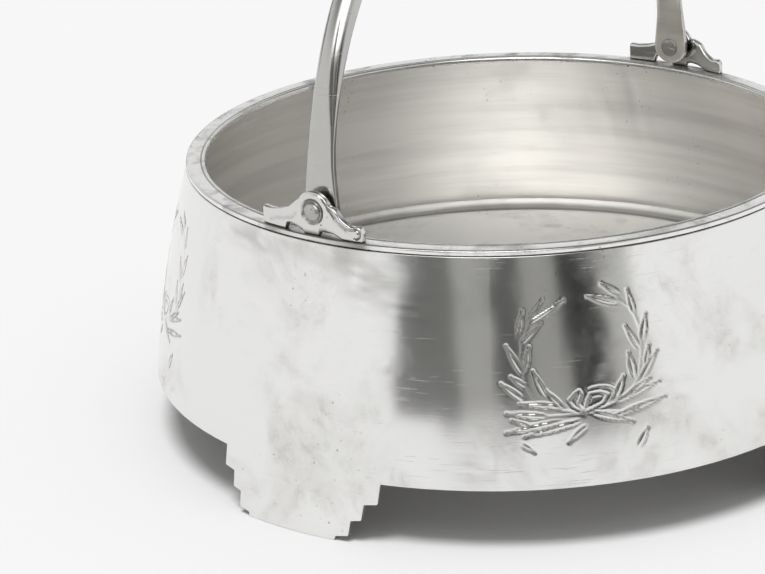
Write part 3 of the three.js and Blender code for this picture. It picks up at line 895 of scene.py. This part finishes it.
def silver_material(name, finish, groups, clouds, scratches, specks, brush, tone=None,
                    inside_tone=None, roughness=None, bump=0.25, cloud_scale=55.0,
                    engraving_and_shade_dark=0.5, smoky=False):
    """Worn silver: a polished base clouded with patina, darker in engraved lines, pits and painted
    shade, with scratches and turning lines in its roughness and bump."""
    material = bpy.data.materials.new(name)
    material.use_nodes = True
    tree = material.node_tree
    shader = tree.nodes["Principled BSDF"]
    shader.inputs["Metallic"].default_value = 1.0
    coordinate = add_node(tree, "ShaderNodeTexCoord").outputs["Object"]
    tone = tone or tuple(finish.silver)
    roughness = finish.polish if roughness is None else roughness
    cloud = use_group(tree, groups["cloud"], coordinate, Scale=cloud_scale, Low=0.45, High=0.72)
    fog = use_group(tree, groups["cloud"], coordinate, Scale=260.0, Low=0.40, High=0.70)
    scratch = use_group(tree, groups["scratch"], coordinate, Scale=1.0, Level=0.69)
    speck = use_group(tree, groups["speck"], coordinate, Scale=620.0, Size=0.17, Spread=0.54)
    lines = use_group(tree, groups["brush"], coordinate, Fineness=1.0)
    # The engraving value also carries painted shade: along the lugs' feet and undersides, on the rim under
    # the lugs and round the rivets' edges, and a painted dark reflection on the rim's inner lip.
    engraved = read_value(tree, "engraving_and_shade")

    haze = math_node(tree, "ADD", math_node(tree, "MULTIPLY", fog, 0.6), 0.4)
    stain = math_node(tree, "MULTIPLY", math_node(tree, "MULTIPLY", cloud, haze), clouds)
    colour = blend(tree, stain, tone, tuple(finish.patina))
    if inside_tone is not None:
        smear = noise(tree, stretched(tree, coordinate, (14, 14, 240)), 1.0, 4.0, 0.6)
        darker = tuple(0.84 * part for part in inside_tone)
        smeared = blend(tree, range_node(tree, smear, 0.35, 0.7), inside_tone, darker)
        colour = blend(tree, read_value(tree, "inside"), colour, smeared)
    dark = math_node(tree, "MULTIPLY", speck, specks)
    dark = math_node(tree, "MAXIMUM", dark, math_node(tree, "MULTIPLY", engraved, engraving_and_shade_dark))
    dark = math_node(tree, "MAXIMUM", dark, math_node(tree, "MULTIPLY", scratch, 0.14 * scratches))
    if smoky:
        smoke = math_node(tree, "MULTIPLY", read_value(tree, "smoke"), 0.42)
        dark = math_node(tree, "MAXIMUM", dark, smoke)
    colour = blend(tree, dark, colour, tuple(finish.dirt_and_shade))
    link(tree, colour, shader.inputs["Base Color"])

    rough = math_node(tree, "ADD", math_node(tree, "MULTIPLY", stain, 0.22), roughness)
    rough = math_node(tree, "ADD", rough, math_node(tree, "MULTIPLY", scratch, 0.12 * scratches))
    rough = math_node(tree, "ADD", rough, math_node(tree, "MULTIPLY", lines, 0.10 * brush))
    rough = math_node(tree, "ADD", rough, math_node(tree, "MULTIPLY", engraved, 0.25))
    if inside_tone is not None:
        rough = math_node(tree, "ADD", rough, math_node(tree, "MULTIPLY", read_value(tree, "inside"), 0.16))
    link(tree, rough, shader.inputs["Roughness"])

    height = math_node(tree, "MULTIPLY", lines, brush)
    height = math_node(tree, "SUBTRACT", height, math_node(tree, "MULTIPLY", scratch, 0.6 * scratches))
    height = math_node(tree, "SUBTRACT", height, math_node(tree, "MULTIPLY", speck, 1.2 * specks))
    node = add_node(tree, "ShaderNodeBump")
    node.inputs["Strength"].default_value = bump
    node.inputs["Distance"].default_value = 0.00004
    link(tree, height, node.inputs["Height"])
    link(tree, node.outputs[0], shader.inputs["Normal"])
    return material


def build_materials(finish):
    """The six finishes of the bowl's pieces, which share four node groups."""
    groups = {"cloud": cloud_group(), "scratch": scratch_group(), "speck": speck_group(),
              "brush": brush_group()}
    warm = tuple(finish.warm)
    return {
        "wall": silver_material(
            "Engraved wall silver", finish, groups, clouds=1.0, scratches=0.6, specks=0.55, brush=0.35,
            inside_tone=warm, engraving_and_shade_dark=0.62, smoky=True),
        "rim": silver_material(
            "Rim silver", finish, groups, clouds=1.5, scratches=0.9, specks=1.2, brush=0.2,
            tone=(0.88, 0.875, 0.86), roughness=0.18, cloud_scale=150.0, engraving_and_shade_dark=0.8),
        "floor": silver_material(
            "Turned floor silver", finish, groups, clouds=0.6, scratches=0.8, specks=0.6, brush=0.6,
            tone=(0.97, 0.965, 0.945), roughness=0.52, engraving_and_shade_dark=0.8),
        "cast": silver_material(
            "Cast lug silver", finish, groups, clouds=0.9, scratches=0.5, specks=0.9, brush=0.0,
            tone=(0.70, 0.695, 0.68), roughness=0.15, bump=0.5, cloud_scale=180.0, engraving_and_shade_dark=0.95),
        "rivet": silver_material(
            "Hammered rivet silver", finish, groups, clouds=0.8, scratches=0.6, specks=1.0, brush=0.0,
            tone=(0.42, 0.41, 0.385), roughness=0.28, bump=0.5),
        # Painted shade: the bail's outer silver has a much darker tone than the other pieces, standing in
        # for the dim light on its arms.
        "bail": silver_material(
            "Forged bail silver", finish, groups, clouds=1.2, scratches=0.9, specks=0.6, brush=0.0,
            tone=(0.50, 0.495, 0.48), inside_tone=(0.88, 0.86, 0.79), roughness=0.17,
            cloud_scale=110.0),
    }


MATERIALS = {}


def material(name):
    """Materials are made once, when the first piece asks for one."""
    if not MATERIALS:
        MATERIALS.update(build_materials(bpy.context.scene.bowl_finish))
    return MATERIALS[name]


# ---------------------------------------------------------------------------------------------
# Stage
# ---------------------------------------------------------------------------------------------
def build_camera(stage):
    """Stands off the middle of the rim at the given distance, elevation and azimuth, then turns a
    little off centre and rolls."""
    yaw, pitch, roll = stage.aside, -stage.look_down, stage.roll
    back, rise = math.cos(stage.elevation), math.sin(stage.elevation)
    place = Vector((0, -stage.distance * back, stage.distance * rise))
    turn = Matrix.Rotation(stage.azimuth, 3, "Z")
    forward = Matrix.Rotation(yaw, 3, "Z") @ (-place.normalized())
    right = forward.cross(Vector((0, 0, 1))).normalized()
    up = right.cross(forward)
    forward, up = (math.cos(pitch) * forward + math.sin(pitch) * up,
                   math.cos(pitch) * up - math.sin(pitch) * forward)
    right, up = (math.cos(roll) * right + math.sin(roll) * up,
                 math.cos(roll) * up - math.sin(roll) * right)
    axes = Matrix((turn @ right, turn @ up, turn @ -forward)).transposed().to_4x4()
    axes.translation = turn @ place + Vector((0, 0, RIM_TOP * MM))
    data = bpy.data.cameras.new("camera")
    data.lens = stage.lens
    data.sensor_width = 36
    data.clip_start = 0.01
    camera = bpy.data.objects.new("camera", data)
    camera.matrix_world = axes
    bpy.context.scene.collection.objects.link(camera)
    bpy.context.scene.camera = camera


def plain_material(name, colour, roughness=0.9):
    """One even matt colour, for the table."""
    made = bpy.data.materials.new(name)
    made.use_nodes = True
    shader = made.node_tree.nodes["Principled BSDF"]
    shader.inputs["Base Color"].default_value = (*colour, 1)
    shader.inputs["Roughness"].default_value = roughness
    shader.inputs["Specular IOR Level"].default_value = 0.0
    return made


# Dark cards that shape the reflections: from and to azimuth in degrees, and brightness. They stand
# on the table, and lean a little so that their edges run down to the right.
FLAG_DISTANCE = 300
FLAG_HEIGHT = 170
FLAG_BANDS = [(-86, -72, 0.15), (-72, -61, 0.38), (-61, -52, 0.09), (-52, -41, 0.33), (-41, -29, 0.02),
              (-29, -19, 0.50)]
FLAG_LEAN = 0.04  # degrees for each millimetre away from the height that isn't moved
FLAG_LEAN_HEIGHT = 105
# The first card's torn outer edge: height in millimetres and azimuth in degrees.
TORN_EDGE = [(0, -72), (8, -76), (20, -83), (35, -86), (50, -86), (62, -80), (72, -82), (90, -89),
             (105, -92), (170, -94)]
HORIZON_LEVEL, OVERHEAD_ADDS = 0.30, 1.05
# The soft light that only polished metal shows: azimuth and elevation of its middle.
LIGHT_TURN, LIGHT_RISE = math.radians(-68), math.radians(37)
LIGHT_DIRECTION = (math.cos(LIGHT_RISE) * math.cos(LIGHT_TURN),
                   math.cos(LIGHT_RISE) * math.sin(LIGHT_TURN), math.sin(LIGHT_RISE))
# More cards: both azimuths, distance, height of both edges, brightness. The far one darkens the
# rim's back edge, and the others darken a stripe up the bail's arm and arch.
BACK_STRIP = (60, 190, 900, 60, 190, 0.12)
ARM_STRIP = (-85, -71, 200, 14, 62, 0.16)
ARCH_STRIP = (-87, -75, 300, 165, 250, 0.06)


def glowing(name, level):
    """A card's material: it gives off an even grey."""
    made = bpy.data.materials.new(name)
    made.use_nodes = True
    tree = made.node_tree
    tree.nodes.remove(tree.nodes["Principled BSDF"])
    glow = add_node(tree, "ShaderNodeEmission")
    glow.inputs["Color"].default_value = (level, level, level * 0.97, 1)
    link(tree, glow.outputs[0], tree.nodes["Material Output"].inputs["Surface"])
    return made


def add_card(name, azimuth, height, distance, level):
    """An upright card bent round the bowl, seen only in reflections. azimuth and height are grids
    in degrees and millimetres."""
    turn = np.radians(azimuth)
    points = np.stack([np.cos(turn) * distance, np.sin(turn) * distance, height], -1)
    faces = quads(numbered(height.shape))[:, ::-1]
    card = make_mesh(name, points.reshape(-1, 3), [faces])
    card.data.materials.append(glowing(name, level))
    card.visible_camera = False
    card.visible_diffuse = False
    card.visible_shadow = False


def build_flags():
    """Dark cards round the front, one with a torn outer edge, and three plain strips. Each leans by
    an angle that grows with the distance from one height."""
    height = np.linspace(FLAG_HEIGHT, 0, 69)[:, None]
    share = np.linspace(0, 1, 9)[None, :]
    lean = FLAG_LEAN * (FLAG_LEAN_HEIGHT - height)
    for number, (low, high, level) in enumerate(FLAG_BANDS):
        left = low + lean
        if number == 0:
            left = np.interp(height, *np.array(TORN_EDGE, float).T)
        azimuth = left + (high + lean - left) * share
        add_card(f"flag_{number}", azimuth, np.repeat(height, share.size, 1), FLAG_DISTANCE, level)
    strips = {"back_strip": BACK_STRIP, "arm_strip": ARM_STRIP, "arch_strip": ARCH_STRIP}
    for name, card in strips.items():
        low, high, distance, under, over, level = card
        azimuth, height = np.meshgrid(np.linspace(low, high, 33), np.array([over, under], float))
        add_card(name, azimuth, height, distance, level)


def build_overhead(stage):
    """A broad light almost straight above, which makes the shadow under the bowl. Polished metal
    doesn't show it."""
    light = bpy.data.lights.new("overhead", "SUN")
    light.energy = stage.overhead_light
    light.angle = math.radians(24)
    lamp = bpy.data.objects.new("overhead", light)
    lamp.rotation_euler = (math.radians(10), math.radians(-2), 0)
    lamp.visible_glossy = False
    bpy.context.scene.collection.objects.link(lamp)


def build_room(stage):
    """A soft room: even light on matt things, an even backdrop, and for polished metal a brightness
    that falls off above the horizon and rises again round one soft overhead light."""
    world = bpy.data.worlds.new("soft room")
    world.use_nodes = True
    tree = world.node_tree
    background = tree.nodes["Background"]
    direction = add_node(tree, "ShaderNodeTexCoord").outputs["Generated"]
    split = add_node(tree, "ShaderNodeSeparateXYZ")
    link(tree, direction, split.inputs[0])
    high = range_node(tree, split.outputs["Z"], 0.18, 0.75)
    falling = math_node(tree, "SUBTRACT", 0.95, math_node(tree, "MULTIPLY", high, 0.78))
    facing = add_node(tree, "ShaderNodeVectorMath", operation="DOT_PRODUCT")
    link(tree, direction, facing.inputs[0])
    facing.inputs[1].default_value = LIGHT_DIRECTION
    near = range_node(tree, facing.outputs["Value"], 0.80, 0.99)
    polished = math_node(tree, "ADD", falling, math_node(tree, "MULTIPLY", near, 3.1))
    # Matt things are lit mostly from above: the level at the horizon, and what straight up adds.
    added = math_node(tree, "MULTIPLY", split.outputs["Z"], OVERHEAD_ADDS)
    share = math_node(tree, "ADD", added, HORIZON_LEVEL)
    matt = math_node(tree, "MULTIPLY", share, stage.room_light)
    path = add_node(tree, "ShaderNodeLightPath")
    mix = math_node(tree, "MULTIPLY", path.outputs["Is Camera Ray"], stage.backdrop)
    mix = math_node(tree, "ADD", mix, math_node(tree, "MULTIPLY", path.outputs["Is Diffuse Ray"], matt))
    mix = math_node(tree, "ADD", mix, math_node(tree, "MULTIPLY", path.outputs["Is Glossy Ray"], polished))
    link(tree, mix, background.inputs["Strength"])
    background.inputs["Color"].default_value = (1, 1, 1, 1)
    bpy.context.scene.world = world


def build_stage(stage):
    """A table 12 m across, the room, the light, the cards and the camera."""
    bpy.context.scene.view_settings.view_transform = "Standard"
    size = 6.0 / MM
    points = np.array([(-size, -size, 0), (size, -size, 0), (size, size, 0), (-size, size, 0)], float)
    table = make_mesh("table", points, [np.array([[0, 1, 2, 3]])])
    table.data.materials.append(plain_material("Table", tuple(stage.table_colour)))
    build_room(stage)
    build_overhead(stage)
    build_flags()
    build_camera(stage)


# ---------------------------------------------------------------------------------------------
# Operators
# ---------------------------------------------------------------------------------------------
class BOWL_OT_stage(bpy.types.Operator):
    """Make the table, the soft light and the camera"""

    bl_idname = "bowl.stage"
    bl_label = "Stage"

    def execute(self, context):
        build_stage(context.scene.bowl_stage)
        return {"FINISHED"}


class BOWL_OT_wall(bpy.types.Operator):
    """Make the engraved wall with its four stepped feet"""

    bl_idname = "bowl.wall"
    bl_label = "Wall and feet"

    def execute(self, context):
        piece = build_wall(context.scene.bowl_sizes)
        finish_piece(piece, "bowl", ["body_wall"], material("wall"))
        return {"FINISHED"}


class BOWL_OT_rim(bpy.types.Operator):
    """Make the moulded rim ring"""

    bl_idname = "bowl.rim"
    bl_label = "Rim"

    def execute(self, context):
        piece = build_rim(context.scene.bowl_sizes)
        finish_piece(piece, "bowl", ["rim_ring"], material("rim"))
        return {"FINISHED"}


class BOWL_OT_floor(bpy.types.Operator):
    """Make the turned floor with its solder fillet"""

    bl_idname = "bowl.floor"
    bl_label = "Floor"

    def execute(self, context):
        piece = build_floor(context.scene.bowl_sizes)
        finish_piece(piece, "bowl", ["floor_disc"], material("floor"))
        return {"FINISHED"}


class BOWL_OT_lugs(bpy.types.Operator):
    """Make the two cast lugs"""

    bl_idname = "bowl.lugs"
    bl_label = "Lugs"

    def execute(self, context):
        for name, side in (("near", 1), ("far", -1)):
            piece = build_lug(f"lug_{name}_cast", side)
            finish_piece(piece, "bowl", [f"lug_{name}"], material("cast"))
        return {"FINISHED"}


class BOWL_OT_rivets(bpy.types.Operator):
    """Make the two hammered rivets"""

    bl_idname = "bowl.rivets"
    bl_label = "Rivets"

    def execute(self, context):
        for name, side in (("near", 1), ("far", -1)):
            piece = build_rivet(f"rivet_{name}_hammered", side)
            finish_piece(piece, "bowl", [f"rivet_{name}"], material("rivet"))
        return {"FINISHED"}


class BOWL_OT_bail(bpy.types.Operator):
    """Make the swinging bail handle"""

    bl_idname = "bowl.bail"
    bl_label = "Bail"

    def execute(self, context):
        finish_piece(build_bail(), "bail", ["bail_handle"], material("bail"))
        return {"FINISHED"}


STEPS = (BOWL_OT_stage, BOWL_OT_wall, BOWL_OT_rim, BOWL_OT_floor, BOWL_OT_lugs, BOWL_OT_rivets,
         BOWL_OT_bail)


class BOWL_PT_panel(bpy.types.Panel):
    """Lists the bowl's sizes, finish and making steps"""

    bl_idname = "BOWL_PT_panel"
    bl_label = "Sugar Bowl"
    bl_space_type = "VIEW_3D"
    bl_region_type = "UI"
    bl_category = "Sugar Bowl"

    def draw(self, context):
        scene = context.scene
        for group in (scene.bowl_sizes, scene.bowl_finish, scene.bowl_stage):
            column = self.layout.column()
            for key in group.__annotations__:
                column.prop(group, key)
        for step in STEPS:
            self.layout.operator(step.bl_idname)


CLASSES = (BowlSizes, BowlFinish, BowlStage, *STEPS, BOWL_PT_panel)


def register():
    """Registers the classes and puts the three groups of settings on the scene."""
    for cls in CLASSES:
        bpy.utils.register_class(cls)
    bpy.types.Scene.bowl_sizes = bpy.props.PointerProperty(type=BowlSizes)
    bpy.types.Scene.bowl_finish = bpy.props.PointerProperty(type=BowlFinish)
    bpy.types.Scene.bowl_stage = bpy.props.PointerProperty(type=BowlStage)


def unregister():
    """Undoes what register does."""
    del bpy.types.Scene.bowl_stage
    del bpy.types.Scene.bowl_finish
    del bpy.types.Scene.bowl_sizes
    for cls in reversed(CLASSES):
        bpy.utils.unregister_class(cls)


def main():
    """Makes everything in order, by the same operators as the panel."""
    register()
    for step in STEPS:
        group, name = step.bl_idname.split(".")
        getattr(getattr(bpy.ops, group), name)()


if __name__ == "__main__":
    main()
